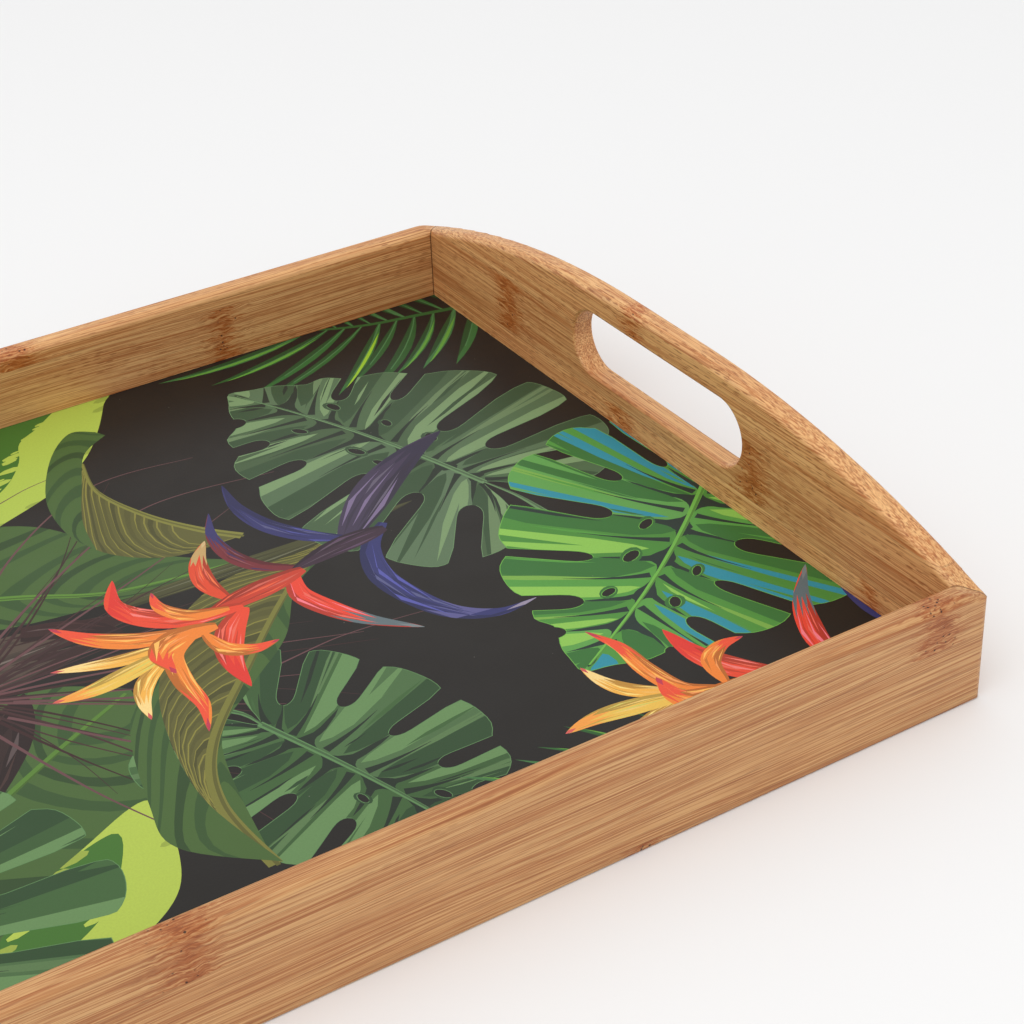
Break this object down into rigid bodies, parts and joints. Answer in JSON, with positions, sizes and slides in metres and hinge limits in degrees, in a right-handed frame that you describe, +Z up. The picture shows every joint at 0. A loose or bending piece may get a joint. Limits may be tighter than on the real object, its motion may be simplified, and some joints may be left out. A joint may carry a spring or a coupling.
{
  "type": "serving tray",
  "caption": "Rectangular bamboo serving tray with mitred corners, arched handle ends with hand slots, and a base panel printed with tropical leaves.",
  "frame": {"origin": "centre of the tray's footprint, on the surface that it stands on", "axes": "+X along the tray, from one handle to the other; +Y across it, towards the back rail; +Z up"},
  "size_m": [0.4, 0.3, 0.0572],
  "materials": {
    "bamboo": "satin clear lacquer",
    "fibreboard": "raw, matt",
    "printed_paper": "printed paper under clear resin, satin",
    "backing_paper": "plain paper under clear resin, matt",
    "tongue_wood": "raw, matt"
  },
  "bodies": {
    "root": {"front_rail": "bamboo", "back_rail": "bamboo", "left_handle_board": "bamboo", "right_handle_board": "bamboo", "backing_sheet": "backing_paper", "base_core": "fibreboard", "printed_sheet": "printed_paper", "mitre_tongue_front_left": "tongue_wood", "mitre_tongue_front_right": "tongue_wood", "mitre_tongue_back_left": "tongue_wood", "mitre_tongue_back_right": "tongue_wood"}
  },
  "joints": []
}
